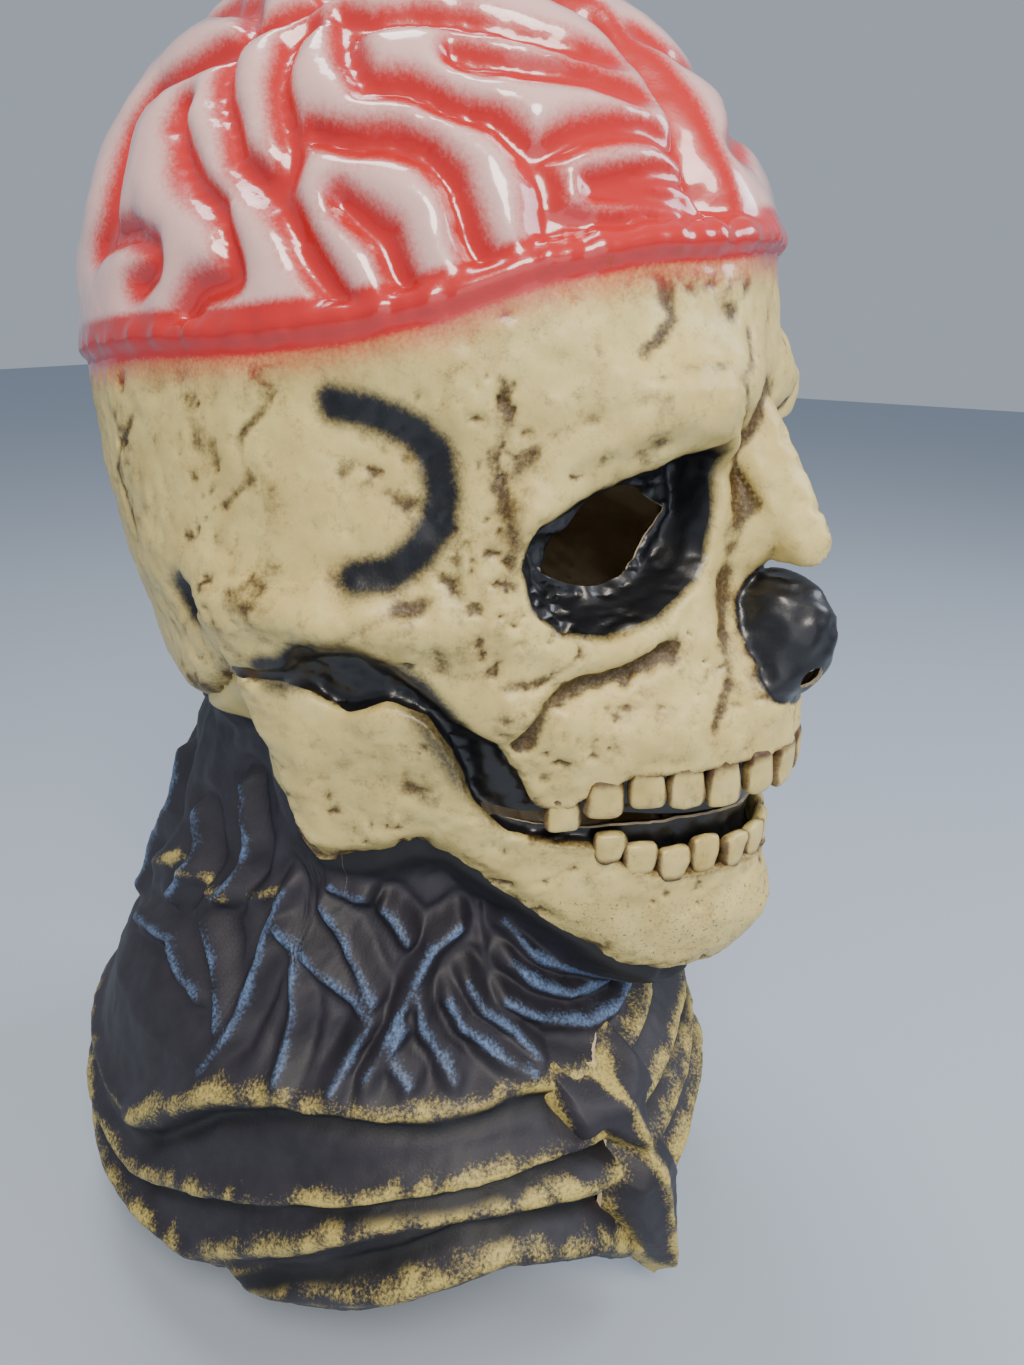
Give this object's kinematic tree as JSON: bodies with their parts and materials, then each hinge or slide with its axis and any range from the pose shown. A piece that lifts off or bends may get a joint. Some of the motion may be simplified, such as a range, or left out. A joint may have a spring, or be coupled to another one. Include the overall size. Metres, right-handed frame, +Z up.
{
  "type": "latex skull mask",
  "caption": "Full-overhead latex skull mask with a bare brain, dark nose and eye sockets, separate teeth, a hinged jaw and a ribbed neck bib.",
  "frame": {"origin": "the inside of the crown, where the mask rests on the top of the head", "axes": "+Z up, the face looks along -Y, the wearer's left is +X"},
  "size_m": [0.2126, 0.2809, 0.4466],
  "materials": {
    "bone_latex": "satin cream paint with a brown wash",
    "wet_pink_latex": "clear-coated pink with sprayed red grooves",
    "wet_red_latex": "clear-coated red",
    "black_latex": "satin black paint",
    "tooth_latex": "satin cream paint with brown in the gaps",
    "neck_latex": "matt dark latex with dry-brushed ridges"
  },
  "bodies": {
    "skull": {"skull_shell": "bone_latex", "brain_cap": "wet_pink_latex", "brain_seam": "wet_red_latex", "eye_socket_right": "black_latex", "eye_socket_left": "black_latex", "nose_cavity": "black_latex", "upper_lip": "black_latex", "cheek_web_right": "black_latex", "cheek_web_left": "black_latex", "upper_tooth_right_1": "tooth_latex", "upper_tooth_right_2": "tooth_latex", "upper_tooth_right_3": "tooth_latex", "upper_tooth_right_4": "tooth_latex", "upper_tooth_right_5": "tooth_latex", "upper_tooth_right_6": "tooth_latex", "upper_tooth_right_7": "tooth_latex", "upper_tooth_left_1": "tooth_latex", "upper_tooth_left_2": "tooth_latex", "upper_tooth_left_3": "tooth_latex", "upper_tooth_left_4": "tooth_latex", "upper_tooth_left_5": "tooth_latex", "upper_tooth_left_6": "tooth_latex", "upper_tooth_left_7": "tooth_latex", "neck_cowl": "neck_latex", "throat_skin": "neck_latex", "breastbone": "neck_latex"},
    "jaw": {"lower_jaw": "bone_latex", "lower_lip": "black_latex", "lower_tooth_right_1": "tooth_latex", "lower_tooth_right_2": "tooth_latex", "lower_tooth_right_3": "tooth_latex", "lower_tooth_right_4": "tooth_latex", "lower_tooth_right_5": "tooth_latex", "lower_tooth_right_6": "tooth_latex", "lower_tooth_left_1": "tooth_latex", "lower_tooth_left_2": "tooth_latex", "lower_tooth_left_3": "tooth_latex", "lower_tooth_left_4": "tooth_latex", "lower_tooth_left_5": "tooth_latex", "lower_tooth_left_6": "tooth_latex"}
  },
  "joints": [
    {"name": "jaw_open", "type": "hinge", "parent": "skull", "child": "jaw", "pos_m": [0, 0.005, -0.1675], "axis": [1, 0, 0], "range_deg": [0, 6], "stiffness_Nm_per_rad": 2, "springref_deg": -3.44, "deforming": ["throat_skin"]}
  ]
}
